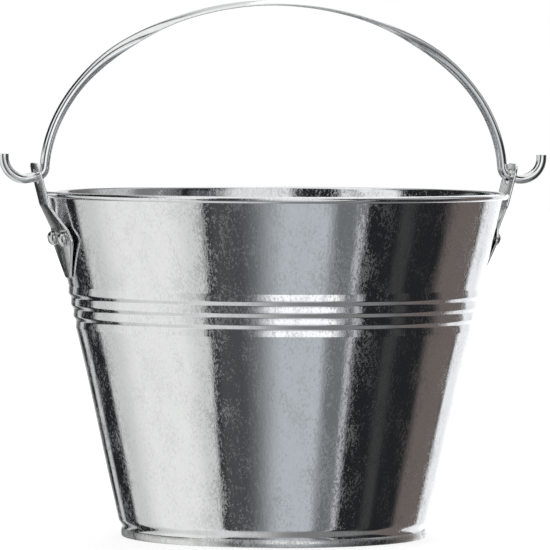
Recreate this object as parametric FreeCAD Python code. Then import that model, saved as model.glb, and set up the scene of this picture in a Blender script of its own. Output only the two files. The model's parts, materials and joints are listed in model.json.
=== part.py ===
import FreeCAD, Part
import math
import os

# Galvanised steel florist's bucket with a swinging bail, in millimetres and degrees.
# Origin: centre of the plane that the bucket stands on. +Z is up, and the two ears are on -X and +X.
# The sheet-metal wall is a cone: its outer face is the line that all wall features are measured from.

# Wall and its beads
SHEET = 0.5
WALL_BASE_RADIUS = 77.2
WALL_FLARE = 0.2222
BEAD_COUNT = 3
BEAD_BOTTOM = 106.1
BEAD_LONG_SIDE = 3.5
BEAD_SHORT_SIDE = 2.35
BEAD_SWING = 0.48
BEAD_ROUND = 1.2
BEAD_RUN_IN = 20.0
BEAD_RUN_IN_ROUND = 300.0

# Lock seam: the folded joint of the wall sheet, a raised strip up the back
SEAM_WIDTH = 5.0
SEAM_RISE = 0.6
SEAM_FOOT = 10.0
SEAM_TOP = 171.0

# Rolled rim and the wire inside it
CURL_RADIUS = 1.65
CURL_SEAT = 174.15
CURL_SWEEP = 303.0
WIRE_GAP = 0.05

# Folded foot: the base disc's edge is a channel that holds the wall's flange
CHIME_RADIUS = 77.8
CHIME_HEIGHT = 3.9
CHIME_BULGE = 0.35
CHIME_BULGE_ROUND = 5.0
CHIME_BEND = 0.5
FOLD_GAP = 0.05
FLARE_TOP = 9.0

# Ears
EAR_THICKNESS = 1.2
EAR_GAP = 0.05
EAR_TIP_HEIGHT = 132.0
EAR_KNEE_HEIGHT = 156.95
EAR_SHOULDER_RISE = 12.1
EAR_SHOULDER_LEAN = 30.8
EAR_STRAP_LEAN = 14.6
EAR_TOP_HEIGHT = 190.1
EAR_BEND = 2.5
EAR_CURVE = 300.0
EAR_STOCK_HALF_WIDTH = 30.0
STRAP_HALF_WIDTH = 10.8
NECK_HEIGHT = 168.0
KITE_HALF_WIDTH = 25.4
KITE_HEIGHT = 151.0
TIP_HALF_WIDTH = 5.6
STRAP_CORNER = 5.0
EAR_CORNER = 3.0
EAR_TIP_CORNER = 2.0
PIVOT_HOLE_RADIUS = 3.8
PIVOT_HOLE_HEIGHT = 183.25

# Rivets
RIVET_HEIGHT = 152.1
RIVET_ASIDE = 12.0
RIVET_SHANK_RADIUS = 2.0
RIVET_HOLE_RADIUS = 2.05
RIVET_HEAD_RADIUS = 3.75
RIVET_HEAD_HEIGHT = 3.5
RIVET_HEAD_ROUND = 2.9
RIVET_UPSET_RADIUS = 3.25
RIVET_UPSET_HEIGHT = 1.5
RIVET_UPSET_ROUND = 0.6
RIVET_SEAT_GAP = 0.06
RIVET_WALL_FALL = 0.62

# Bail: half an ellipse over the pivot line. Each leg bends outwards, dips through the ear's hole and ends
# in an upturned hook. Its strip opens from a tube and then widens, between these angles up the arch.
PIVOT_HEIGHT = 183.1
BAIL_HALF_SPAN = 119.9
BAIL_RISE = 88.3
BAIL_LEG_END = 4.9
BAIL_BEND_RADIUS = 5.5
BAIL_DIP = 15.0
BAIL_RUN = 3.0
BAIL_HOOK_RADIUS = 11.1
BAIL_HOOK_END = 1.4
BAIL_SHEET = 0.8
TUBE_RADIUS = 2.6
TUBE_SPREAD = 174.0
GRIP_WIDTH = 15.2
GRIP_SPREAD = 33.0
OPENING = (30.0, 68.0)
WIDENING = (50.0, 75.0)

# How finely the bail's surface is laid out
ARCH_STEPS = 60
SECTION_STEPS = 16

UP = FreeCAD.Vector(0, 0, 1)
ACROSS = FreeCAD.Vector(0, 1, 0)
ORIGIN = FreeCAD.Vector(0, 0, 0)

TAPER = math.atan(WALL_FLARE)
UP_WALL = FreeCAD.Vector(math.sin(TAPER), 0, math.cos(TAPER))
OUT_OF_WALL = FreeCAD.Vector(math.cos(TAPER), 0, -math.sin(TAPER))


def point(radius, height):
    """Point of the radial plane y = 0."""
    return FreeCAD.Vector(radius, 0, height)


def on_wall(height, outwards=0.0):
    """Point of the wall's outer line at a height, moved along the wall's outward normal."""
    return point(WALL_BASE_RADIUS + WALL_FLARE * height, height) + OUT_OF_WALL * outwards


def line(start, end):
    return Part.LineSegment(start, end).toShape()


def smooth_curve(points, start_direction, end_direction):
    curve = Part.BSplineCurve()
    curve.interpolate(Points=points, InitialTangent=start_direction, FinalTangent=end_direction)
    return curve.toShape()


def closed_wire(edges):
    return Part.Wire(Part.__sortEdges__(edges))


def rounded_edges(corners, closed):
    """Lines through (point, radius) corners, with a tangent arc at each corner that has a radius."""
    edges = []
    stretches = []
    for index, (corner, radius) in enumerate(corners):
        start = end = corner
        if radius:
            before = (corners[index - 1][0] - corner).normalize()
            after = (corners[(index + 1) % len(corners)][0] - corner).normalize()
            half_angle = before.getAngle(after) / 2
            setback = radius / math.tan(half_angle)
            start = corner + before * setback
            end = corner + after * setback
            inwards = (before + after).normalize()
            middle = corner + inwards * (radius / math.sin(half_angle) - radius)
            edges.append(Part.Arc(start, middle, end).toShape())
        stretches.append((start, end))
    first = 0 if closed else 1
    edges += [line(stretches[i - 1][1], stretches[i][0]) for i in range(first, len(corners))]
    return edges


def rounded_wire(corners):
    return closed_wire(rounded_edges(corners, True))


def spin(wire):
    """Solid of revolution about the Z axis."""
    return Part.Face(wire).revolve(ORIGIN, UP, 360)


def beaded_line(outwards, bottom, top):
    """Edges of one side of the sheet between two heights, through the zigzag of the beads.

    The wall runs gently out towards the lowest bead. It sets back above the highest, and runs out again.
    """
    corners = [(on_wall(bottom, outwards), 0), (on_wall(BEAD_BOTTOM - BEAD_RUN_IN, outwards), BEAD_RUN_IN_ROUND)]
    height = BEAD_BOTTOM
    corners.append((on_wall(height, outwards + BEAD_SWING), BEAD_ROUND))
    for _ in range(BEAD_COUNT):
        height += BEAD_LONG_SIDE
        corners.append((on_wall(height, outwards - BEAD_SWING), BEAD_ROUND))
        height += BEAD_SHORT_SIDE
        corners.append((on_wall(height, outwards + BEAD_SWING), BEAD_ROUND))
    height += BEAD_LONG_SIDE
    corners.append((on_wall(height, outwards - BEAD_SWING), BEAD_ROUND))
    corners.append((on_wall(height + BEAD_RUN_IN, outwards), BEAD_RUN_IN_ROUND))
    corners.append((on_wall(top, outwards), 0))
    return rounded_edges(corners, False)


def wall_side(outwards, flange_radius):
    """One side of the wall sheet, from the foot of its flange up to the start of the rim curl."""
    flange_foot = point(flange_radius, SHEET + FOLD_GAP)
    flange_top = point(flange_radius, CHIME_HEIGHT)
    flare = smooth_curve([flange_top, on_wall(FLARE_TOP, outwards)], UP, UP_WALL)
    return [line(flange_foot, flange_top), flare] + beaded_line(outwards, FLARE_TOP, CURL_SEAT)


def make_seam():
    """Strip sunk half way into the wall sheet, so that it fuses with it."""
    ends = [line(on_wall(z, -SHEET / 2), on_wall(z, SEAM_RISE)) for z in (SEAM_FOOT, SEAM_TOP)]
    sunk = beaded_line(-SHEET / 2, SEAM_FOOT, SEAM_TOP)
    raised = beaded_line(SEAM_RISE, SEAM_FOOT, SEAM_TOP)
    section = Part.Face(closed_wire(sunk + raised + ends))
    spread = math.degrees(SEAM_WIDTH / WALL_BASE_RADIUS)
    section.rotate(ORIGIN, UP, 90 - spread / 2)
    strip = section.revolve(ORIGIN, UP, spread)
    slab_corner = FreeCAD.Vector(-SEAM_WIDTH / 2, 0, 0)
    slab = Part.makeBox(SEAM_WIDTH, 2 * WALL_BASE_RADIUS, SEAM_TOP, slab_corner)
    return strip.common(slab)


def curl_centre():
    return on_wall(CURL_SEAT, CURL_RADIUS - SHEET)


def curl_point(radius, turned):
    """Point of the rim curl, turned from the wall over the top towards the outside."""
    angle = math.radians(turned)
    return curl_centre() + (UP_WALL * math.sin(angle) - OUT_OF_WALL * math.cos(angle)) * radius


def curl_side(radius):
    turns = (0, CURL_SWEEP / 2, CURL_SWEEP)
    return Part.Arc(*[curl_point(radius, turned) for turned in turns]).toShape()


def make_body_shell():
    flange_radius = CHIME_RADIUS - CHIME_BULGE - SHEET - FOLD_GAP
    outer = wall_side(0.0, flange_radius)
    inner = wall_side(-SHEET, flange_radius - SHEET)
    foot = line(point(flange_radius, SHEET + FOLD_GAP), point(flange_radius - SHEET, SHEET + FOLD_GAP))
    curl_end = line(curl_point(CURL_RADIUS - SHEET, CURL_SWEEP), curl_point(CURL_RADIUS, CURL_SWEEP))
    curl = [curl_side(CURL_RADIUS - SHEET), curl_end, curl_side(CURL_RADIUS)]
    shell = spin(closed_wire(outer + curl + inner + [foot]))
    return shell.cut(rivet_holes()).fuse(make_seam()).Solids[0]


def make_rim_wire():
    centre = curl_centre()
    wire_radius = CURL_RADIUS - SHEET - WIRE_GAP
    return Part.makeTorus(centre.x, wire_radius, point(0, centre.z), UP)


def make_base_disc():
    """Plate whose edge is folded down and up again, round the flange. The fold bulges outwards."""
    outer_leg = CHIME_RADIUS - CHIME_BULGE - SHEET
    inner_leg = outer_leg - 2 * FOLD_GAP - SHEET
    middle = CHIME_HEIGHT / 2
    plate_top = CHIME_HEIGHT
    plate_bottom = plate_top - SHEET
    return spin(rounded_wire([
        (point(0, plate_top), 0),
        (point(inner_leg, plate_top), CHIME_BEND),
        (point(inner_leg, SHEET), 0),
        (point(outer_leg, SHEET), 0),
        (point(outer_leg + CHIME_BULGE, middle), CHIME_BULGE_ROUND - SHEET),
        (point(outer_leg, CHIME_HEIGHT), 0),
        (point(outer_leg + SHEET, CHIME_HEIGHT), 0),
        (point(CHIME_RADIUS, middle), CHIME_BULGE_ROUND),
        (point(outer_leg + SHEET, 0), CHIME_BEND),
        (point(inner_leg - SHEET, 0), CHIME_BEND),
        (point(inner_leg - SHEET, plate_bottom), 0),
        (point(0, plate_bottom), 0),
    ]))


def lean(degrees, rise):
    """Step upwards by a rise along a line that leans outwards."""
    return point(rise * math.tan(math.radians(degrees)), rise)


def ear_axis_foot():
    """Foot of the upright axis that the right ear is bent round, well behind the bucket's own axis."""
    return point(on_wall(RIVET_HEIGHT).x - EAR_CURVE, 0)


def around_ear_axis(turn):
    return FreeCAD.Placement(ORIGIN, FreeCAD.Rotation(UP, turn), ear_axis_foot())


def ear_section():
    """Cut through an ear at its middle: flat on the wall, out over the shoulder, then up the strap."""
    over_run = 2 * EAR_THICKNESS
    tip = on_wall(EAR_TIP_HEIGHT - over_run, EAR_GAP)
    knee = on_wall(EAR_KNEE_HEIGHT, EAR_GAP)
    shoulder = knee + lean(EAR_SHOULDER_LEAN, EAR_SHOULDER_RISE)
    top = shoulder + lean(EAR_STRAP_LEAN, EAR_TOP_HEIGHT + over_run - shoulder.z)
    inner = [tip, knee, shoulder, top]
    leans = [math.degrees(TAPER), EAR_SHOULDER_LEAN, EAR_STRAP_LEAN]
    outer = []
    for corner, below, above in zip(inner, leans[:1] + leans, leans + leans[-1:]):
        tilt = math.radians((below + above) / 2)
        reach = EAR_THICKNESS / math.cos(math.radians((above - below) / 2))
        outer.append(corner + point(reach * math.cos(tilt), -reach * math.sin(tilt)))
    inner_bends = [0, EAR_BEND + EAR_THICKNESS, EAR_BEND, 0]
    outer_bends = [0, EAR_BEND, EAR_BEND + EAR_THICKNESS, 0]
    return rounded_wire(list(zip(inner, inner_bends)) + list(zip(outer, outer_bends))[::-1])


def ear_outline():
    """Prism, seen along X, that an ear is trimmed to: a strap on a kite with a blunt tip."""
    half = [
        (STRAP_HALF_WIDTH, EAR_TOP_HEIGHT, STRAP_CORNER),
        (STRAP_HALF_WIDTH, NECK_HEIGHT, EAR_CORNER),
        (KITE_HALF_WIDTH, KITE_HEIGHT, EAR_CORNER),
        (TIP_HALF_WIDTH, EAR_TIP_HEIGHT, EAR_TIP_CORNER),
    ]
    corners = [(FreeCAD.Vector(0, y, z), radius) for y, z, radius in half]
    corners += [(FreeCAD.Vector(0, -y, z), radius) for y, z, radius in half[::-1]]
    reach = 2 * WALL_BASE_RADIUS
    return Part.Face(rounded_wire(corners)).extrude(FreeCAD.Vector(reach, 0, 0))


def pivot_hole():
    tilt = math.radians(EAR_STRAP_LEAN)
    axis = FreeCAD.Vector(math.cos(tilt), 0, -math.sin(tilt))
    knee = on_wall(EAR_KNEE_HEIGHT, EAR_GAP)
    shoulder = knee + lean(EAR_SHOULDER_LEAN, EAR_SHOULDER_RISE)
    centre = shoulder + lean(EAR_STRAP_LEAN, PIVOT_HOLE_HEIGHT - shoulder.z)
    length = 4 * EAR_THICKNESS
    return Part.makeCylinder(PIVOT_HOLE_RADIUS, length, centre - axis * (length / 2), axis)


def make_right_ear():
    strip = Part.Face(ear_section())
    half_turn = math.degrees(EAR_STOCK_HALF_WIDTH / EAR_CURVE)
    strip.Placement = around_ear_axis(-half_turn)
    plate = strip.revolve(ear_axis_foot(), UP, 2 * half_turn).common(ear_outline())
    return plate.cut(pivot_hole()).cut(rivet_holes()).Solids[0]


def rivet_placement(side, aside):
    """Puts a piece made upright at the origin on an ear's side of the wall, square to the ear's face."""
    onto_wall = FreeCAD.Placement(on_wall(RIVET_HEIGHT), FreeCAD.Rotation(UP, OUT_OF_WALL))
    turn = math.degrees(math.asin(aside / EAR_CURVE))
    around = FreeCAD.Placement(ORIGIN, FreeCAD.Rotation(UP, side))
    return around.multiply(around_ear_axis(turn)).multiply(onto_wall)


def rivet_holes():
    """Drill for the four rivets, long enough for the wall and the ear on it."""
    drills = []
    length = 10 * EAR_THICKNESS
    for side in (0, 180):
        for aside in (-RIVET_ASIDE, RIVET_ASIDE):
            drill = Part.makeCylinder(RIVET_HOLE_RADIUS, length, point(0, -length / 2), UP)
            drill.Placement = rivet_placement(side, aside)
            drills.append(drill)
    return Part.makeCompound(drills)


def make_rivet(side, aside):
    """Round-headed rivet: head on the ear, shank through both sheets, upset end inside the wall.

    Beside the ear's middle the round wall has fallen away from the flatter ear, so the upset end is deeper.
    """
    seat = EAR_GAP + EAR_THICKNESS + RIVET_SEAT_GAP
    head_top = seat + RIVET_HEAD_HEIGHT
    upset_top = -SHEET - RIVET_WALL_FALL - RIVET_SEAT_GAP
    upset_bottom = upset_top - RIVET_UPSET_HEIGHT
    rivet = spin(rounded_wire([
        (point(0, head_top), 0),
        (point(RIVET_HEAD_RADIUS, head_top), RIVET_HEAD_ROUND),
        (point(RIVET_HEAD_RADIUS, seat), 0),
        (point(RIVET_SHANK_RADIUS, seat), 0),
        (point(RIVET_SHANK_RADIUS, upset_top), 0),
        (point(RIVET_UPSET_RADIUS, upset_top), 0),
        (point(RIVET_UPSET_RADIUS, upset_bottom), RIVET_UPSET_ROUND),
        (point(0, upset_bottom), 0),
    ]))
    rivet.Placement = rivet_placement(side, aside)
    return rivet


def smoothstep(span, value):
    """0 below a span of values, 1 above it, and a smooth rise between."""
    share = min(1.0, max(0.0, (value - span[0]) / (span[1] - span[0])))
    return share * share * (3 - 2 * share)


def arch_station(degrees):
    """Centre and outward direction of the arch at an angle up from its right-hand foot."""
    angle = math.radians(degrees)
    centre = point(BAIL_HALF_SPAN * math.cos(angle), PIVOT_HEIGHT + BAIL_RISE * math.sin(angle))
    outward = point(BAIL_RISE * math.cos(angle), BAIL_HALF_SPAN * math.sin(angle)).normalize()
    return centre, outward


def strip_section(degrees):
    """Cut through the bail's curved strip: nearly a full ring as a tube, a shallow arch at the grip."""
    centre, outward = arch_station(degrees)
    up_the_arch = 90 - abs(90 - degrees)
    opening = smoothstep(OPENING, up_the_arch)
    widening = smoothstep(WIDENING, up_the_arch)
    spread = math.radians(TUBE_SPREAD + (GRIP_SPREAD - TUBE_SPREAD) * opening)
    tube_width = 2 * math.radians(TUBE_SPREAD) * (TUBE_RADIUS - BAIL_SHEET / 2)
    grip_radius = GRIP_WIDTH / 2 / math.sin(math.radians(GRIP_SPREAD))
    grip_width = 2 * math.radians(GRIP_SPREAD) * (grip_radius - BAIL_SHEET / 2)
    radius = (tube_width + (grip_width - tube_width) * widening) / (2 * spread)
    outer = radius + BAIL_SHEET / 2
    inner = radius - BAIL_SHEET / 2
    lowest = min(outer * math.cos(spread), inner * math.cos(spread))
    hub = centre - outward * ((outer + lowest) / 2)
    sides = []
    for side_radius in (outer, inner):
        side = []
        for step in range(SECTION_STEPS + 1):
            angle = spread * (2 * step / SECTION_STEPS - 1)
            side.append(hub + (ACROSS * math.sin(angle) + outward * math.cos(angle)) * side_radius)
        curve = Part.BSplineCurve()
        curve.interpolate(Points=side)
        sides.append((side, curve.toShape()))
    (outer_side, outer_edge), (inner_side, inner_edge) = sides
    lips = [line(outer_side[0], inner_side[0]), line(outer_side[-1], inner_side[-1])]
    return closed_wire([outer_edge, inner_edge] + lips)


def make_right_leg(foot):
    """Bend into the ear's hole, run through it, hook and hook's end, each carried on from the last.

    The outward direction starts level, and is upright at the hook's lowest point.
    """
    centre, outward = arch_station(foot)
    section = Part.Face(strip_section(foot))
    turned = math.degrees(math.atan2(outward.z, outward.x))
    bend = (BAIL_BEND_RADIUS, 90 - BAIL_DIP, BAIL_RUN)
    hook = (BAIL_HOOK_RADIUS, 180, BAIL_HOOK_END)
    pieces = []
    for radius, end_turn, run in (bend, hook):
        hub = centre + outward * radius
        pieces.append(section.revolve(hub, -ACROSS, end_turn - turned))
        section.rotate(hub, -ACROSS, end_turn - turned)
        turned = end_turn
        outward = point(math.cos(math.radians(turned)), math.sin(math.radians(turned)))
        onward = point(outward.z, -outward.x) * run
        pieces.append(section.extrude(onward))
        section.translate(onward)
        centre = hub - outward * radius + onward
    return pieces


def make_bail():
    foot = math.degrees(math.asin(BAIL_LEG_END / BAIL_RISE))
    steps = range(ARCH_STEPS + 1)
    arch = Part.makeLoft([strip_section(foot + (180 - 2 * foot) * step / ARCH_STEPS) for step in steps], True)
    right_leg = make_right_leg(foot)
    left_leg = [piece.mirror(ORIGIN, FreeCAD.Vector(1, 0, 0)) for piece in right_leg]
    return arch.multiFuse(right_leg + left_leg).Solids[0]


def make_parts():
    right_ear = make_right_ear()
    left_ear = right_ear.copy()
    left_ear.rotate(ORIGIN, UP, 180)
    return {
        "body_shell": make_body_shell(),
        "base_disc": make_base_disc(),
        "rim_wire": make_rim_wire(),
        "left_ear": left_ear,
        "right_ear": right_ear,
        "left_ear_front_rivet": make_rivet(180, RIVET_ASIDE),
        "left_ear_rear_rivet": make_rivet(180, -RIVET_ASIDE),
        "right_ear_front_rivet": make_rivet(0, -RIVET_ASIDE),
        "right_ear_rear_rivet": make_rivet(0, RIVET_ASIDE),
        "bail": make_bail(),
    }


os.makedirs("parts", exist_ok=True)
for name, shape in make_parts().items():
    shape.exportStep("parts/" + name + ".step")
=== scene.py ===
import json
import math

import bmesh
import bpy
from mathutils import Matrix, Vector, noise


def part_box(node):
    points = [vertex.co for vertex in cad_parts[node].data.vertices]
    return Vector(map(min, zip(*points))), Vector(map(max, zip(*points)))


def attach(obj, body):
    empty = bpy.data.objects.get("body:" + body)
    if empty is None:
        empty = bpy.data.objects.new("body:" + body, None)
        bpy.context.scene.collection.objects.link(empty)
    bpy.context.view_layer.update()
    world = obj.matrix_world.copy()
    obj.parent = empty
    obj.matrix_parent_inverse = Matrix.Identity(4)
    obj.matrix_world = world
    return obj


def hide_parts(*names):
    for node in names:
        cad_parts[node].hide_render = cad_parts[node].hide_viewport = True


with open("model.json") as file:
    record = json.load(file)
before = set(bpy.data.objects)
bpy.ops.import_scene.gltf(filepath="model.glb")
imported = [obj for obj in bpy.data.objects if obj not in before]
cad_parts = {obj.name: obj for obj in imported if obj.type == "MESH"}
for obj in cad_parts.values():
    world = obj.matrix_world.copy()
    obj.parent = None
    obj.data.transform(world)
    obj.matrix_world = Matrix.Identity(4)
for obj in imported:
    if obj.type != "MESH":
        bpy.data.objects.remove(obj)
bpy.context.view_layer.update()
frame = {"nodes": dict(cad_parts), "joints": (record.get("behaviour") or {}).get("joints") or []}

# Florist's bucket in galvanised steel sheet, with a swinging bail.
# Everything is in metres and in the CAD's frame: +Z up, ears on -X and +X, lock seam up the back (+Y).

MM = 0.001

# ---------------------------------------------------------------- sizes

SHEET = 0.5 * MM
WALL_FLARE = 0.2222
TAPER = math.atan(WALL_FLARE)
CURL_RADIUS = 1.65 * MM
CURL_SEAT = 174.15 * MM
CURL_SWEEP = math.radians(303)
CHIME_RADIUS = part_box("base_disc")[1][0]
CHIME_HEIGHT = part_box("base_disc")[1][2]
CHIME_BULGE = 0.35 * MM
CHIME_BULGE_ROUND = 5.0 * MM
CHIME_LEG_RADIUS = CHIME_RADIUS - CHIME_BULGE
CHIME_BEND = 0.5 * MM
CHIME_EDGE = 0.2 * MM
FOLD_GAP = 0.05 * MM
FLARE_TOP = 9.0 * MM
RIM_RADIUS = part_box("rim_wire")[1][0] + FOLD_GAP + SHEET
WALL_BASE_RADIUS = (
    RIM_RADIUS - CURL_RADIUS - (CURL_RADIUS - SHEET) * math.cos(TAPER) - WALL_FLARE * CURL_SEAT
)

BEAD_COUNT = 3
BEAD_BOTTOM = 106.1 * MM
BEAD_LONG_SIDE = 3.5 * MM
BEAD_SHORT_SIDE = 2.35 * MM
BEAD_SWING = 0.48 * MM
BEAD_ROUND = 1.2 * MM
BEAD_RUN_IN = 20.0 * MM
BEAD_RUN_IN_ROUND = 300.0 * MM

WAVE_DEPTH = 0.10 * MM
WAVE_HEIGHT = 45 * MM
WAVES_ROUND = 2.4
WAVE_FADE_IN = 30 * MM
WAVE_FADE_OUT = 150 * MM

SEAM_HALF_WIDTH = 2.5 * MM
SEAM_RISE = 0.6 * MM
SEAM_EDGE = 0.5 * MM
SEAM_FOOT = 10.0 * MM
SEAM_TOP = 171.0 * MM
SEAM_FADE = 1.5 * MM

EAR_THICKNESS = 1.2 * MM
EAR_GAP = 0.05 * MM
EAR_TIP_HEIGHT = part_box("right_ear")[0][2]
EAR_TOP_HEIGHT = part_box("right_ear")[1][2]
EAR_KNEE_HEIGHT = 156.95 * MM
EAR_SHOULDER_RISE = 12.1 * MM
EAR_SHOULDER_LEAN = math.radians(30.8)
EAR_STRAP_LEAN = math.radians(14.6)
EAR_BEND = 2.5 * MM
EAR_CURVE = 300.0 * MM
STRAP_HALF_WIDTH = 10.8 * MM
NECK_HEIGHT = 168.0 * MM
KITE_HALF_WIDTH = 25.4 * MM
KITE_HEIGHT = 151.0 * MM
TIP_HALF_WIDTH = 5.6 * MM
STRAP_CORNER = 5.0 * MM
EAR_CORNER = 3.0 * MM
EAR_TIP_CORNER = 2.0 * MM
EAR_EDGE = 0.3 * MM
PIVOT_HOLE_RADIUS = 3.8 * MM
PIVOT_HOLE_HEIGHT = 183.25 * MM

RIVET_HEIGHT = 152.1 * MM
RIVET_ASIDE = 12.0 * MM
RIVET_SHANK_RADIUS = 2.0 * MM
RIVET_HEAD_RADIUS = 3.75 * MM
RIVET_HEAD_HEIGHT = 3.5 * MM
RIVET_HEAD_ROUND = 2.9 * MM
RIVET_UPSET_RADIUS = 3.25 * MM
RIVET_UPSET_HEIGHT = 1.5 * MM
RIVET_UPSET_ROUND = 0.6 * MM
RIVET_SEAT_GAP = 0.06 * MM
RIVET_WALL_FALL = 0.62 * MM

PIVOT_HEIGHT = frame["joints"][0]["pos_m"][2]
BAIL_HALF_SPAN = 119.9 * MM
BAIL_RISE = 88.3 * MM
BAIL_LEG_END = 4.9 * MM
BAIL_BEND_RADIUS = 5.5 * MM
BAIL_DIP = math.radians(15)
BAIL_RUN = 3.0 * MM
BAIL_HOOK_RADIUS = 11.1 * MM
BAIL_HOOK_END = 1.4 * MM
BAIL_SHEET = 0.8 * MM
TUBE_RADIUS = 2.6 * MM
TUBE_SPREAD = math.radians(174)
GRIP_WIDTH = 15.2 * MM
GRIP_SPREAD = math.radians(33)
OPENING = (math.radians(30), math.radians(68))
WIDENING = (math.radians(50), math.radians(75))

# How finely the surfaces are laid out
LONGEST_STEP = 1.6 * MM
ARC_STEPS = 6
WALL_TURN_STEPS = 420
SEAM_REACH = 4.0 * MM
SEAM_STEP = 0.25 * MM
EAR_STEP = 0.8 * MM
EAR_COLUMNS = 30
EAR_EDGE_STEPS = 3
HOLE_STEPS = 64
RIVET_STEP = 0.5 * MM
RIVET_EDGE = 0.2 * MM
RIVET_TURN_STEPS = 56
ARCH_STEPS = 150
BEND_STEPS = 26
RUN_STEPS = 3
STRIP_STEPS = 24
LIP_STEPS = 6
FLARE_STEPS = 10
CURL_INNER_STEPS = 24
CURL_OUTER_STEPS = 48
WELD = 0.001 * MM
SHARP_ANGLE = math.radians(40)
TINY = 0.01 * MM

# ---------------------------------------------------------------- camera and studio

CAMERA_AZIMUTH = math.radians(-13.5)
CAMERA_DISTANCE = 2.97
CAMERA_HEIGHT = 0.243
CAMERA_AIM_HEIGHT = 0.133
CAMERA_ROLL = math.radians(0.35)
CAMERA_LENS = 382
CAMERA_REACH = 50


# ---------------------------------------------------------------- outlines

def point(radius, height):
    """Point of the radial plane y = 0."""
    return Vector((radius, 0, height))


UP = Vector((0, 0, 1))
UP_WALL = point(math.sin(TAPER), math.cos(TAPER))
OUT_OF_WALL = point(math.cos(TAPER), -math.sin(TAPER))


def on_wall(height, outwards=0.0):
    """Point of the wall's outer line at a height, moved along the wall's outward normal."""
    return point(WALL_BASE_RADIUS + WALL_FLARE * height, height) + OUT_OF_WALL * outwards


def smoothstep(low, high, value):
    share = min(1.0, max(0.0, (value - low) / (high - low)))
    return share * share * (3 - 2 * share)


def rounded_path(corners, longest_step=LONGEST_STEP):
    """Points through (point, radius) corners: an arc at each corner with a radius, short steps between."""
    stops = []
    for index, (corner, radius) in enumerate(corners):
        if not radius:
            stops.append([corner])
            continue
        before = (corners[index - 1][0] - corner).normalized()
        after = (corners[(index + 1) % len(corners)][0] - corner).normalized()
        half_angle = before.angle(after) / 2
        hub = corner + (before + after).normalized() * (radius / math.sin(half_angle))
        start = (corner + before * (radius / math.tan(half_angle)) - hub).normalized()
        end = (corner + after * (radius / math.tan(half_angle)) - hub).normalized()
        arc = [start.slerp(end, step / ARC_STEPS) for step in range(ARC_STEPS + 1)]
        stops.append([hub + direction * radius for direction in arc])
    path = []
    for index, stop in enumerate(stops):
        path += stop
        if index + 1 < len(stops):
            onward = stops[index + 1][0]
            steps = max(1, math.ceil((onward - stop[-1]).length / longest_step))
            path += [stop[-1].lerp(onward, step / steps) for step in range(1, steps)]
    return path


def smooth_step_path(start, start_direction, end, end_direction, steps):
    """Points between two ends along a curve that leaves and arrives in the directions given."""
    reach = (end - start).length
    path = []
    for step in range(1, steps):
        t = step / steps
        path.append(
            start * (2 * t ** 3 - 3 * t ** 2 + 1)
            + start_direction * (reach * (t ** 3 - 2 * t ** 2 + t))
            + end * (3 * t ** 2 - 2 * t ** 3)
            + end_direction * (reach * (t ** 3 - t ** 2))
        )
    return path


# ---------------------------------------------------------------- meshes

def make_object(name, vertices, faces):
    mesh = bpy.data.meshes.new(name)
    mesh.from_pydata(vertices, [], faces)
    tidy = bmesh.new()
    tidy.from_mesh(mesh)
    bmesh.ops.remove_doubles(tidy, verts=tidy.verts, dist=WELD)
    bmesh.ops.recalc_face_normals(tidy, faces=tidy.faces)
    tidy.to_mesh(mesh)
    tidy.free()
    mesh.shade_smooth()
    mesh.set_sharp_from_angle(angle=SHARP_ANGLE)
    piece = bpy.data.objects.new(name, mesh)
    bpy.context.scene.collection.objects.link(piece)
    return piece


def grid_object(name, rows, close_rows, close_columns):
    """Skin over rows of points. Ends that stay open are capped."""
    width = len(rows[0])
    columns = width if close_rows else width - 1
    bands = len(rows) if close_columns else len(rows) - 1
    faces = []
    for row in range(bands):
        here = row * width
        there = (row + 1) % len(rows) * width
        for column in range(columns):
            beside = (column + 1) % width
            faces.append((here + column, here + beside, there + beside, there + column))
    if close_rows and not close_columns:
        faces.append(tuple(range(width)))
        faces.append(tuple(range((len(rows) - 1) * width, len(rows) * width)))
    return make_object(name, [p for row in rows for p in row], faces)


def turned(place, azimuth):
    """A point of the radial plane carried round the Z axis."""
    return Vector((place.x * math.cos(azimuth), place.x * math.sin(azimuth), place.z))


# ---------------------------------------------------------------- wall

def wall_corners(outwards, top):
    """Corners of one side of the sheet, from the top of the foot's flare up through the beads."""
    height = BEAD_BOTTOM
    corners = [
        (on_wall(FLARE_TOP, outwards), 0),
        (on_wall(height - BEAD_RUN_IN, outwards), BEAD_RUN_IN_ROUND),
        (on_wall(height, outwards + BEAD_SWING), BEAD_ROUND),
    ]
    for _ in range(BEAD_COUNT):
        height += BEAD_LONG_SIDE
        corners.append((on_wall(height, outwards - BEAD_SWING), BEAD_ROUND))
        height += BEAD_SHORT_SIDE
        corners.append((on_wall(height, outwards + BEAD_SWING), BEAD_ROUND))
    height += BEAD_LONG_SIDE
    corners.append((on_wall(height, outwards - BEAD_SWING), BEAD_ROUND))
    corners.append((on_wall(height + BEAD_RUN_IN, outwards), BEAD_RUN_IN_ROUND))
    corners.append((on_wall(top, outwards), 0))
    return corners


def wall_side(outwards, flange_radius):
    """One side of the wall sheet, from the foot of its flange up to the start of the rim curl."""
    flange_foot = point(flange_radius, SHEET + FOLD_GAP)
    flange_top = point(flange_radius, CHIME_HEIGHT)
    flare = smooth_step_path(flange_top, UP, on_wall(FLARE_TOP, outwards), UP_WALL, FLARE_STEPS)
    return [flange_foot, flange_top] + flare + rounded_path(wall_corners(outwards, CURL_SEAT))


def curl_side(radius, steps):
    """Points round the rim curl, from the wall over the top and on towards the wall again."""
    hub = on_wall(CURL_SEAT, CURL_RADIUS - SHEET)
    path = []
    for step in range(1, steps + 1):
        angle = CURL_SWEEP * step / steps
        path.append(hub + (UP_WALL * math.sin(angle) - OUT_OF_WALL * math.cos(angle)) * radius)
    return path


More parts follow.
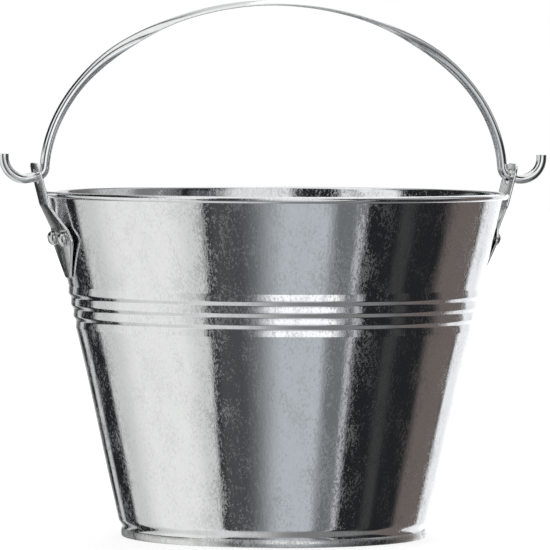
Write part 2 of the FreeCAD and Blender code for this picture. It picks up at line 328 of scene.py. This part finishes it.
def seam_lift(azimuth, height, radius):
    """How far the lock seam stands out of the wall."""
    aside = abs(azimuth - math.pi / 2) * radius
    across = 1 - smoothstep(SEAM_HALF_WIDTH - SEAM_EDGE, SEAM_HALF_WIDTH, aside)
    foot = smoothstep(SEAM_FOOT, SEAM_FOOT + SEAM_FADE, height)
    top = 1 - smoothstep(SEAM_TOP - SEAM_FADE, SEAM_TOP, height)
    return SEAM_RISE * across * foot * top


def wall_waviness(azimuth, height):
    """Slow undulation that rolled sheet always has, fading out at the foot and the rim."""
    place = Vector((math.cos(azimuth) * WAVES_ROUND, math.sin(azimuth) * WAVES_ROUND, height / WAVE_HEIGHT))
    foot = smoothstep(FLARE_TOP, WAVE_FADE_IN, height)
    top = 1 - smoothstep(WAVE_FADE_OUT, CURL_SEAT, height)
    return noise.noise(place) * WAVE_DEPTH * (foot * top)


def wall_azimuths():
    """Even turns round the wall, with short steps across the lock seam."""
    half_reach = SEAM_REACH / WALL_BASE_RADIUS
    seam_steps = round(2 * SEAM_REACH / SEAM_STEP)
    azimuths = [math.pi / 2 - half_reach + 2 * half_reach * i / seam_steps for i in range(seam_steps)]
    rest = 2 * math.pi - 2 * half_reach
    azimuths += [math.pi / 2 + half_reach + rest * i / WALL_TURN_STEPS for i in range(WALL_TURN_STEPS)]
    return azimuths


def make_body_shell():
    flange_radius = CHIME_LEG_RADIUS - SHEET - FOLD_GAP
    outer = wall_side(0.0, flange_radius)
    inner = wall_side(-SHEET, flange_radius - SHEET)
    curl = curl_side(CURL_RADIUS - SHEET, CURL_INNER_STEPS) + curl_side(CURL_RADIUS, CURL_OUTER_STEPS)[::-1]
    profile = outer + curl + inner[::-1]
    rows = []
    for azimuth in wall_azimuths():
        row = []
        for index, place in enumerate(profile):
            shift = wall_waviness(azimuth, place.z)
            if index < len(outer):
                shift += seam_lift(azimuth, place.z, place.x)
            row.append(turned(place + OUT_OF_WALL * shift, azimuth))
        rows.append(row)
    return grid_object("bucket_wall", rows, True, True)


# ---------------------------------------------------------------- base

def make_base_disc():
    """Plate whose edge is folded down and up again, round the flange. The fold bulges outwards."""
    outer_leg = CHIME_LEG_RADIUS - SHEET
    inner_leg = outer_leg - 2 * FOLD_GAP - SHEET
    middle = CHIME_HEIGHT / 2
    plate_bottom = CHIME_HEIGHT - SHEET
    profile = rounded_path([
        (point(0, CHIME_HEIGHT), 0),
        (point(inner_leg, CHIME_HEIGHT), CHIME_BEND),
        (point(inner_leg, SHEET), 0),
        (point(outer_leg, SHEET), 0),
        (point(outer_leg + CHIME_BULGE, middle), CHIME_BULGE_ROUND - SHEET),
        (point(outer_leg, CHIME_HEIGHT), CHIME_EDGE),
        (point(CHIME_LEG_RADIUS, CHIME_HEIGHT), CHIME_EDGE),
        (point(CHIME_RADIUS, middle), CHIME_BULGE_ROUND),
        (point(CHIME_LEG_RADIUS, 0), CHIME_BEND),
        (point(inner_leg - SHEET, 0), CHIME_BEND),
        (point(inner_leg - SHEET, plate_bottom), 0),
        (point(0, plate_bottom), 0),
    ])
    steps = WALL_TURN_STEPS // 2
    rows = [[turned(place, 2 * math.pi * i / steps) for place in profile] for i in range(steps)]
    return grid_object("bucket_base", rows, False, True)


# ---------------------------------------------------------------- ears

def lean(angle, rise):
    """Step upwards by a rise along a line that leans outwards."""
    return point(rise * math.tan(angle), rise)


def ear_line():
    """Inner face of an ear in the radial plane: flat on the wall, out over the shoulder, up the strap."""
    over_run = 2 * EAR_THICKNESS
    tip = on_wall(EAR_TIP_HEIGHT - over_run, EAR_GAP)
    knee = on_wall(EAR_KNEE_HEIGHT, EAR_GAP)
    shoulder = knee + lean(EAR_SHOULDER_LEAN, EAR_SHOULDER_RISE)
    top = shoulder + lean(EAR_STRAP_LEAN, EAR_TOP_HEIGHT + over_run - shoulder.z)
    corners = [(tip, 0), (knee, EAR_BEND + EAR_THICKNESS), (shoulder, EAR_BEND), (top, 0)]
    return rounded_path(corners, EAR_STEP)


def ear_place(height, line):
    """Point of an ear's inner face at a height, and the direction out through its thickness."""
    index = max(i for i, place in enumerate(line[:-1]) if place.z <= height)
    start, end = line[index], line[index + 1]
    along = (end - start).normalized()
    place = start.lerp(end, (height - start.z) / (end.z - start.z))
    return place, Vector((along.z, 0, -along.x))


def ear_half_outline():
    """(half width, height) points up one edge of an ear, set in at both ends by the edge's rounding."""
    bottom = EAR_TIP_HEIGHT + EAR_EDGE
    top = EAR_TOP_HEIGHT - EAR_EDGE
    path = rounded_path([
        (point(0, bottom), 0),
        (point(TIP_HALF_WIDTH, bottom), EAR_TIP_CORNER),
        (point(KITE_HALF_WIDTH, KITE_HEIGHT), EAR_CORNER),
        (point(STRAP_HALF_WIDTH, NECK_HEIGHT), EAR_CORNER),
        (point(STRAP_HALF_WIDTH, top), STRAP_CORNER),
        (point(0, top), 0),
    ], EAR_STEP)
    edge = [path[0]]
    for place in path:
        if place.z > edge[-1].z + TINY:
            edge.append(place)
        elif place.z < bottom + TINY:
            edge[-1] = place
    return [(place.x, place.z) for place in edge]


def plate_section(half_width, inset):
    """(sideways, depth) loop of a plate's cut, its edges rounded, shrunk all round by an inset."""
    radius = EAR_EDGE - inset
    flat = half_width - EAR_EDGE
    loop = []
    for side, depth_hub, turn in ((1, EAR_THICKNESS - EAR_EDGE, 0), (-1, EAR_EDGE, math.pi)):
        for step in range(EAR_COLUMNS):
            loop.append((side * flat * (2 * step / EAR_COLUMNS - 1), depth_hub + side * radius))
        for step in range(EAR_EDGE_STEPS + 1):
            angle = turn + math.pi / 2 * (1 - step / EAR_EDGE_STEPS)
            loop.append((side * flat + radius * math.cos(angle), depth_hub + radius * math.sin(angle)))
        far_hub = EAR_THICKNESS - depth_hub
        for step in range(EAR_EDGE_STEPS + 1):
            angle = turn - math.pi / 2 * step / EAR_EDGE_STEPS
            loop.append((side * flat + radius * math.cos(angle), far_hub + radius * math.sin(angle)))
    return loop


def ear_axis_radius():
    """How far the upright axis that the right ear is bent round is from the bucket's own, along X."""
    return on_wall(RIVET_HEIGHT).x - EAR_CURVE


def ear_row(half_width, height, inset, line):
    """Cut through the ear at a height, bent round the ears' own upright axis."""
    place, outwards = ear_place(height, line)
    axis = ear_axis_radius()
    row = []
    for sideways, depth in plate_section(half_width, inset):
        spot = place + outwards * depth
        row.append(Vector((axis + math.sqrt((spot.x - axis) ** 2 - sideways ** 2), sideways, spot.z)))
    return row


def hole_cutter():
    """Round cutter for the pivot hole, flared at both faces of the strap to ease the hole's edges."""
    half = EAR_THICKNESS / 2
    length = 3 * EAR_THICKNESS
    wide = PIVOT_HOLE_RADIUS + EAR_EDGE
    side = [point(0, -length), point(wide, -length)]
    for step in range(EAR_EDGE_STEPS + 1):
        angle = math.pi / 2 * step / EAR_EDGE_STEPS
        side.append(point(wide - EAR_EDGE * math.sin(angle), -half + EAR_EDGE * (1 - math.cos(angle))))
    side += [point(place.x, -place.z) for place in side[::-1]]
    rows = [[turned(place, 2 * math.pi * i / HOLE_STEPS) for place in side] for i in range(HOLE_STEPS)]
    cutter = grid_object("hole_cutter", rows, False, True)
    place, outwards = ear_place(PIVOT_HOLE_HEIGHT, ear_line())
    turn = outwards.to_track_quat("Z", "Y").to_matrix().to_4x4()
    cutter.data.transform(Matrix.Translation(place + outwards * half) @ turn)
    return cutter


def cut_with(piece, cutter):
    """Cuts a piece, keeps the result as its mesh, and removes the cutter."""
    cut = piece.modifiers.new("cut", "BOOLEAN")
    cut.operation = "DIFFERENCE"
    cut.solver = "EXACT"
    cut.object = cutter
    bpy.context.view_layer.update()
    shaped = piece.evaluated_get(bpy.context.evaluated_depsgraph_get())
    mesh = bpy.data.meshes.new_from_object(shaped)
    piece.modifiers.clear()
    piece.data = mesh
    bpy.data.objects.remove(cutter)


def ear_end_rows(half_width, height, upwards, line):
    """Rows that round off an ear's lower or upper end, from the end face inwards."""
    rows = []
    for step in range(EAR_EDGE_STEPS):
        angle = math.pi / 2 * step / EAR_EDGE_STEPS
        beyond = upwards * EAR_EDGE * math.cos(angle)
        rows.append(ear_row(half_width, height + beyond, EAR_EDGE * (1 - math.sin(angle)), line))
    return rows


def make_ear(name, azimuth):
    line = ear_line()
    edge = ear_half_outline()
    rows = ear_end_rows(*edge[0], -1, line)
    rows += [ear_row(half_width, height, 0.0, line) for half_width, height in edge]
    rows += ear_end_rows(*edge[-1], 1, line)[::-1]
    ear = grid_object(name, rows, True, False)
    cut_with(ear, hole_cutter())
    ear.data.transform(Matrix.Rotation(azimuth, 4, "Z"))
    return ear


# ---------------------------------------------------------------- rivets

def make_rivet(name, azimuth, aside):
    """Round-headed rivet: head on the ear, shank through both sheets, upset end inside the wall."""
    seat = EAR_GAP + EAR_THICKNESS + RIVET_SEAT_GAP
    head_top = seat + RIVET_HEAD_HEIGHT
    upset_top = -SHEET - RIVET_WALL_FALL - RIVET_SEAT_GAP
    upset_bottom = upset_top - RIVET_UPSET_HEIGHT
    profile = rounded_path([
        (point(0, head_top), 0),
        (point(RIVET_HEAD_RADIUS, head_top), RIVET_HEAD_ROUND),
        (point(RIVET_HEAD_RADIUS, seat), RIVET_EDGE),
        (point(RIVET_SHANK_RADIUS, seat), 0),
        (point(RIVET_SHANK_RADIUS, upset_top), 0),
        (point(RIVET_UPSET_RADIUS, upset_top), RIVET_EDGE),
        (point(RIVET_UPSET_RADIUS, upset_bottom), RIVET_UPSET_ROUND),
        (point(0, upset_bottom), 0),
    ], RIVET_STEP)
    turns = [2 * math.pi * step / RIVET_TURN_STEPS for step in range(RIVET_TURN_STEPS)]
    rivet = grid_object(name, [[turned(place, turn) for place in profile] for turn in turns], False, True)
    square_on = OUT_OF_WALL.to_track_quat("Z", "Y").to_matrix().to_4x4()
    from_ear_axis = Matrix.Translation(on_wall(RIVET_HEIGHT) - point(ear_axis_radius(), 0)) @ square_on
    beside_middle = Matrix.Rotation(math.asin(aside / EAR_CURVE), 4, "Z") @ from_ear_axis
    on_ear = Matrix.Translation(point(ear_axis_radius(), 0)) @ beside_middle
    rivet.data.transform(Matrix.Rotation(azimuth, 4, "Z") @ on_ear)
    return rivet


# ---------------------------------------------------------------- bail

def arch_stations():
    """Stations (centre, outward direction, angle up the arch) from the top down to a leg's foot."""
    foot = math.asin(BAIL_LEG_END / BAIL_RISE)
    stations = []
    for step in range(ARCH_STEPS + 1):
        angle = math.pi / 2 - (math.pi / 2 - foot) * step / ARCH_STEPS
        centre = point(BAIL_HALF_SPAN * math.cos(angle), PIVOT_HEIGHT + BAIL_RISE * math.sin(angle))
        outward = point(BAIL_RISE * math.cos(angle), BAIL_HALF_SPAN * math.sin(angle)).normalized()
        stations.append((centre, outward, angle))
    return stations


def bend_stations(start, radius, end_turn):
    """Stations on along an arc that starts at a station and turns the outward direction up and over."""
    centre, outward, angle = start
    hub = centre + outward * radius
    start_turn = math.atan2(outward.z, outward.x)
    stations = []
    for step in range(1, BEND_STEPS + 1):
        turn = start_turn + (end_turn - start_turn) * step / BEND_STEPS
        direction = point(math.cos(turn), math.sin(turn))
        stations.append((hub - direction * radius, direction, angle))
    return stations


def run_stations(start, length):
    """Stations straight on from a station."""
    centre, outward, angle = start
    onward = point(outward.z, -outward.x)
    steps = range(1, RUN_STEPS + 1)
    return [(centre + onward * (length * step / RUN_STEPS), outward, angle) for step in steps]


def bail_stations():
    """Stations down one half of the bail, from the top of the arch to the end of the hook."""
    stations = arch_stations()
    stations += bend_stations(stations[-1], BAIL_BEND_RADIUS, math.pi / 2 - BAIL_DIP)
    stations += run_stations(stations[-1], BAIL_RUN)
    stations += bend_stations(stations[-1], BAIL_HOOK_RADIUS, math.pi)
    stations += run_stations(stations[-1], BAIL_HOOK_END)
    return stations


def strip_section(centre, outward, angle, mirror):
    """Loop round the bail's curved strip: nearly a full ring as a tube, a shallow arch at the grip."""
    opening = smoothstep(*OPENING, angle)
    widening = smoothstep(*WIDENING, angle)
    spread = TUBE_SPREAD + (GRIP_SPREAD - TUBE_SPREAD) * opening
    half = BAIL_SHEET / 2
    tube_width = 2 * TUBE_SPREAD * (TUBE_RADIUS - half)
    grip_width = 2 * GRIP_SPREAD * (GRIP_WIDTH / 2 / math.sin(GRIP_SPREAD) - half)
    radius = (tube_width + (grip_width - tube_width) * widening) / (2 * spread)
    lowest = min((radius + half) * math.cos(spread), (radius - half) * math.cos(spread))
    hub = centre - outward * ((radius + half + lowest) / 2)
    reach = spread - half / radius

    def spot(distance, turn):
        place = hub + outward * (distance * math.cos(turn))
        return Vector((place.x * mirror, distance * math.sin(turn), place.z))

    loop = []
    for side in (1, -1):
        for step in range(STRIP_STEPS):
            loop.append(spot(radius + side * half, side * reach * (2 * step / STRIP_STEPS - 1)))
        for step in range(LIP_STEPS):
            turn = math.pi * step / LIP_STEPS
            across = side * (reach + half * math.sin(turn) / radius)
            loop.append(spot(radius + side * half * math.cos(turn), across))
    return loop


def make_bail():
    stations = bail_stations()
    rows = [strip_section(*station, 1) for station in stations[::-1]]
    rows += [strip_section(*station, -1) for station in stations[1:]]
    return grid_object("bail_handle", rows, True, False)


# ---------------------------------------------------------------- material helpers

def math_node(tree, operation, *values):
    node = tree.nodes.new("ShaderNodeMath")
    node.operation = operation
    for socket, value in zip(node.inputs, values):
        if isinstance(value, bpy.types.NodeSocket):
            tree.links.new(value, socket)
        else:
            socket.default_value = value
    return node.outputs[0]


def map_range(tree, value, from_low, from_high, to_low, to_high, smooth=False):
    node = tree.nodes.new("ShaderNodeMapRange")
    if smooth:
        node.interpolation_type = "SMOOTHSTEP"
    tree.links.new(value, node.inputs["Value"])
    limits = {"From Min": from_low, "From Max": from_high, "To Min": to_low, "To Max": to_high}
    for name, number in limits.items():
        node.inputs[name].default_value = number
    return node.outputs["Result"]


def mix_colour(tree, share, first, second):
    node = tree.nodes.new("ShaderNodeMix")
    node.data_type = "RGBA"
    for name, value in (("Factor_Float", share), ("A_Color", first), ("B_Color", second)):
        socket = next(s for s in node.inputs if s.identifier == name)
        if isinstance(value, bpy.types.NodeSocket):
            tree.links.new(value, socket)
        else:
            socket.default_value = value
    return next(s for s in node.outputs if s.identifier == "Result_Color")


def noise_value(tree, place, size, detail=2.0, roughness=0.5, stretch=(1, 1, 1)):
    """Noise from 0 to 1 whose lumps are about the given size."""
    scaled = tree.nodes.new("ShaderNodeVectorMath")
    scaled.operation = "MULTIPLY"
    tree.links.new(place, scaled.inputs[0])
    scaled.inputs[1].default_value = [part / size for part in stretch]
    grain = tree.nodes.new("ShaderNodeTexNoise")
    grain.inputs["Scale"].default_value = 1.0
    grain.inputs["Detail"].default_value = detail
    grain.inputs["Roughness"].default_value = roughness
    tree.links.new(scaled.outputs[0], grain.inputs["Vector"])
    return grain.outputs["Fac"]


def cell_tone(tree, place, size):
    """Random tone of each of the crystal cells of about the given size."""
    node = tree.nodes.new("ShaderNodeTexVoronoi")
    node.inputs["Scale"].default_value = 1 / size
    tree.links.new(place, node.inputs["Vector"])
    return node.outputs["Color"]


def metal(name):
    """New metal material: its tree, its surface node and a place in metres to hang textures on."""
    material = bpy.data.materials.new(name)
    material.use_nodes = True
    tree = material.node_tree
    surface = tree.nodes["Principled BSDF"]
    surface.inputs["Metallic"].default_value = 1.0
    place = tree.nodes.new("ShaderNodeTexCoord").outputs["Object"]
    return material, tree, surface, place


def bump(tree, height, depth, below=None):
    node = tree.nodes.new("ShaderNodeBump")
    node.inputs["Strength"].default_value = 1.0
    node.inputs["Distance"].default_value = depth
    tree.links.new(height, node.inputs["Height"])
    if below:
        tree.links.new(below, node.inputs["Normal"])
    return node.outputs["Normal"]


# ---------------------------------------------------------------- materials

GRAIN_SIZE = 1.3 * MM
STREAK_SIZE = 2.2 * MM
UNEVENNESS_SIZE = 14.0 * MM
SPECK_SIZE = 1.1 * MM
CLOUD_SIZE = 9.0 * MM
CLOUD_SHARE = 0.5
CRYSTAL_SIZE = 1.6 * MM
FLECK_START = 0.84
FLECK_FULL = 1.0
DULL_TONE = 0.90


def spangle_normal(tree, place, fine, streaks, broad):
    """Relief of zinc: fine crystal grain over upright rolling streaks over a broad unevenness, in metres."""
    grain = noise_value(tree, place, GRAIN_SIZE, detail=3.0, roughness=0.65, stretch=(1, 1, 0.6))
    drawn = noise_value(tree, place, STREAK_SIZE, detail=2.0, stretch=(1, 1, 0.07))
    uneven = noise_value(tree, place, UNEVENNESS_SIZE, detail=1.0)
    return bump(tree, grain, fine, bump(tree, drawn, streaks, bump(tree, uneven, broad)))


def zinc(name, colour, roughness, matt, cover, fine, streaks, broad):
    """Zinc coating: mirror-bright, with matt flecks over a share of it and crystals that differ in tone."""
    material, tree, surface, place = metal(name)
    speck = noise_value(tree, place, SPECK_SIZE, detail=3.0, roughness=0.7, stretch=(1, 1, 0.6))
    cloud = noise_value(tree, place, CLOUD_SIZE, detail=2.0, stretch=(1, 1, 0.5))
    mottle = math_node(tree, "ADD", speck, math_node(tree, "MULTIPLY", cloud, CLOUD_SHARE))
    fleck = map_range(tree, mottle, FLECK_START - cover, FLECK_FULL - cover, 0.0, 1.0)
    tree.links.new(map_range(tree, fleck, 0.0, 1.0, roughness, matt), surface.inputs["Roughness"])
    crystal = cell_tone(tree, place, CRYSTAL_SIZE)
    tone = map_range(tree, math_node(tree, "ADD", crystal, fleck), 0.0, 2.0, 0.0, 1.0)
    dull = [part * DULL_TONE for part in colour]
    tree.links.new(mix_colour(tree, tone, [*colour, 1], [*dull, 1]), surface.inputs["Base Color"])
    tree.links.new(spangle_normal(tree, place, fine, streaks, broad), surface.inputs["Normal"])
    return material


def galvanised_sheet():
    """Bright mirror-like sheet of the wall."""
    return zinc(
        "galvanised_sheet", (0.84, 0.85, 0.86),
        roughness=0.045, matt=0.28, cover=0.125, fine=0.022 * MM, streaks=0.014 * MM, broad=0.03 * MM,
    )


def galvanised_fold():
    """Duller zinc of the base plate, worked by the folding of its rim."""
    return zinc(
        "galvanised_fold", (0.80, 0.81, 0.81),
        roughness=0.24, matt=0.45, cover=0.16, fine=0.030 * MM, streaks=0.0, broad=0.03 * MM,
    )


def galvanised_plate():
    """Zinc of the stamped ears, less even than the rolled sheet."""
    return zinc(
        "galvanised_plate", (0.80, 0.81, 0.81),
        roughness=0.09, matt=0.26, cover=0.10, fine=0.020 * MM, streaks=0.004 * MM, broad=0.03 * MM,
    )


def rivet_steel():
    return zinc(
        "rivet_steel", (0.70, 0.71, 0.71),
        roughness=0.16, matt=0.32, cover=0.10, fine=0.016 * MM, streaks=0.0, broad=0.02 * MM,
    )


def bail_steel():
    return zinc(
        "bail_steel", (0.86, 0.87, 0.87),
        roughness=0.10, matt=0.24, cover=0.10, fine=0.012 * MM, streaks=0.004 * MM, broad=0.03 * MM,
    )


def wire_steel():
    return zinc(
        "wire_steel", (0.45, 0.45, 0.45),
        roughness=0.35, matt=0.45, cover=0.10, fine=0.010 * MM, streaks=0.0, broad=0.0,
    )


# ---------------------------------------------------------------- studio

# Soft boxes and flags round the bucket, seen in its metal, each one laid over those before it: degrees from
# the camera (right is positive), degrees above the horizon, brightness, and how softly each side fades out.
LOW = -90
SKY = 90
PANELS = (
    ((-186, -172), (LOW, SKY), (0.72, 0.72, 0.72), (10, 12)),
    ((-153, -147), (LOW, SKY), (0.64, 0.64, 0.64), (2, 3)),
    ((-123, -41), (LOW, 9), (0.67, 0.67, 0.66), (4, 3)),
    ((-90, -62), (LOW, 9), (0.92, 0.92, 0.90), (26, 22)),
    ((-33, -16), (LOW, 9), (0.075, 0.078, 0.082), (6, 8)),
    ((26, 45), (LOW, 20), (0.17, 0.18, 0.19), (3, 4)),
    ((8, 27), (LOW, 20), (0.52, 0.55, 0.58), (29, 8)),
    ((46, 48), (LOW, 10), (0.50, 0.51, 0.52), (2, 3)),
    ((72, 77), (LOW, 20), (0.05, 0.05, 0.05), (4, 4)),
    ((108, 132), (LOW, 20), (0.16, 0.135, 0.125), (9, 3)),
    ((138, 200), (LOW, SKY), (0.95, 0.95, 0.97), (4, 0.1)),
    ((172, 200), (LOW, SKY), (1.40, 1.40, 1.40), (26, 0.1)),
    ((3, 33), (1, 13), (1.20, 1.20, 1.20), (16, 8)),
    ((-68, -38), (15, 60), (0.95, 0.95, 0.95), (5, 5)),
    ((-6, 21), (15, 60), (0.88, 0.88, 0.88), (6, 12)),
    ((62, 130), (15, 60), (0.22, 0.22, 0.22), (12, 8)),
    ((88, 104), (15, 60), (0.58, 0.58, 0.58), (10, 12)),
)
PANEL_TOP_SOFTNESS = 5
DARK_ROOM = (0.018, 0.019, 0.021)
FLOOR_LEFT = (0.75, 0.75, 0.75)
FLOOR_RIGHT = (0.22, 0.22, 0.22)
CEILING = (1.0, 1.0, 1.0)
FLOOR_TURN = (-60, 40)
FLOOR_EDGE = (-55, -40)
CEILING_EDGE = (45, 60)
FLOOR_HALF_WIDTH = 6.0
FLOOR_COLOUR = (0.8, 0.8, 0.8)
FLOOR_ROUGHNESS = 0.9
FLOOR_GLOW = 0.6
WHITE = (1, 1, 1)


def window(tree, value, low, high, low_softness, high_softness):
    """1 inside a range, falling smoothly to 0 over the softness outside each end."""
    rise = map_range(tree, value, low - low_softness, low, 0, 1, smooth=True)
    fall = map_range(tree, value, high, high + high_softness, 1, 0, smooth=True)
    return math_node(tree, "MULTIPLY", rise, fall)


def plane_sum(tree, x, x_share, y, y_share):
    """x and y, each times its share, added up."""
    return math_node(
        tree, "ADD", math_node(tree, "MULTIPLY", x, x_share), math_node(tree, "MULTIPLY", y, y_share)
    )


def make_world():
    """Studio as the metal sees it: panels, floor and ceiling. The camera sees white behind the bucket."""
    world = bpy.data.worlds.new("studio")
    bpy.context.scene.world = world
    world.use_nodes = True
    tree = world.node_tree
    background = tree.nodes["Background"]
    ray = tree.nodes.new("ShaderNodeSeparateXYZ")
    tree.links.new(tree.nodes.new("ShaderNodeTexCoord").outputs["Generated"], ray.inputs[0])
    x, y, z = ray.outputs
    turn = Vector((math.sin(CAMERA_AZIMUTH), -math.cos(CAMERA_AZIMUTH)))
    towards = plane_sum(tree, x, turn.x, y, turn.y)
    right = plane_sum(tree, x, -turn.y, y, turn.x)
    azimuth = math_node(tree, "DEGREES", math_node(tree, "ARCTAN2", right, towards))
    elevation = math_node(tree, "DEGREES", math_node(tree, "ARCSINE", z))
    colour = [*DARK_ROOM, 1]
    for (left, right_end), (low, high), brightness, (left_softness, right_softness) in PANELS:
        across = window(tree, azimuth, left, right_end, left_softness, right_softness)
        upwards = window(tree, elevation, low, high, PANEL_TOP_SOFTNESS, PANEL_TOP_SOFTNESS)
        colour = mix_colour(tree, math_node(tree, "MULTIPLY", across, upwards), colour, [*brightness, 1])
    floor_side = map_range(tree, azimuth, *FLOOR_TURN, 0, 1, smooth=True)
    floor = mix_colour(tree, floor_side, [*FLOOR_LEFT, 1], [*FLOOR_RIGHT, 1])
    colour = mix_colour(tree, map_range(tree, elevation, *FLOOR_EDGE, 1, 0, smooth=True), colour, floor)
    overhead = map_range(tree, elevation, *CEILING_EDGE, 0, 1, smooth=True)
    colour = mix_colour(tree, overhead, colour, [*CEILING, 1])
    seen = tree.nodes.new("ShaderNodeLightPath").outputs["Is Camera Ray"]
    colour = mix_colour(tree, seen, colour, [*WHITE, 1])
    tree.links.new(colour, background.inputs["Color"])


def make_floor():
    """Plain pale floor. The metal sees the studio's panels in its place."""
    mesh = bpy.data.meshes.new("floor")
    ways = ((-1, -1), (1, -1), (1, 1), (-1, 1))
    corners = [Vector((x * FLOOR_HALF_WIDTH, y * FLOOR_HALF_WIDTH, 0)) for x, y in ways]
    mesh.from_pydata(corners, [], [(0, 1, 2, 3)])
    floor = bpy.data.objects.new("floor", mesh)
    bpy.context.scene.collection.objects.link(floor)
    material = bpy.data.materials.new("pale_floor")
    material.use_nodes = True
    tree = material.node_tree
    surface = tree.nodes["Principled BSDF"]
    surface.inputs["Base Color"].default_value = (*FLOOR_COLOUR, 1)
    surface.inputs["Roughness"].default_value = FLOOR_ROUGHNESS
    surface.inputs["Emission Color"].default_value = (*WHITE, 1)
    surface.inputs["Emission Strength"].default_value = FLOOR_GLOW
    mesh.materials.append(material)
    floor.visible_glossy = False


def make_camera():
    data = bpy.data.cameras.new("camera")
    data.lens = CAMERA_LENS
    data.clip_end = CAMERA_REACH
    camera = bpy.data.objects.new("camera", data)
    bpy.context.scene.collection.objects.link(camera)
    place = Vector((
        math.sin(CAMERA_AZIMUTH) * CAMERA_DISTANCE, -math.cos(CAMERA_AZIMUTH) * CAMERA_DISTANCE, CAMERA_HEIGHT
    ))
    aim = Vector((0, 0, CAMERA_AIM_HEIGHT)) - place
    camera.location = place
    level = aim.to_track_quat("-Z", "Y").to_matrix()
    camera.rotation_euler = (level @ Matrix.Rotation(CAMERA_ROLL, 3, "Z")).to_euler()
    bpy.context.scene.camera = camera


# ---------------------------------------------------------------- assembly

def finish_piece(piece, body, material, node):
    """Gives a piece its material, its body and the CAD node that it is shown in place of."""
    piece.data.materials.clear()
    piece.data.materials.append(material)
    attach(piece, body)
    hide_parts(node)


def build():
    plate = galvanised_plate()
    rivet = rivet_steel()
    finish_piece(make_body_shell(), "bucket", galvanised_sheet(), "body_shell")
    finish_piece(make_base_disc(), "bucket", galvanised_fold(), "base_disc")
    for side, azimuth, front in (("left", math.pi, 1), ("right", 0.0, -1)):
        ear_name = side + "_ear"
        finish_piece(make_ear(ear_name + "_plate", azimuth), "bucket", plate, ear_name)
        for place, way in (("front", front), ("rear", -front)):
            node = ear_name + "_" + place + "_rivet"
            piece = make_rivet(node + "_steel", azimuth, way * RIVET_ASIDE)
            finish_piece(piece, "bucket", rivet, node)
    finish_piece(make_bail(), "bail", bail_steel(), "bail")
    wire = frame["nodes"]["rim_wire"]
    wire.data.materials.clear()
    wire.data.materials.append(wire_steel())


build()
make_world()
make_floor()
make_camera()
bpy.context.scene.view_settings.view_transform = "Standard"
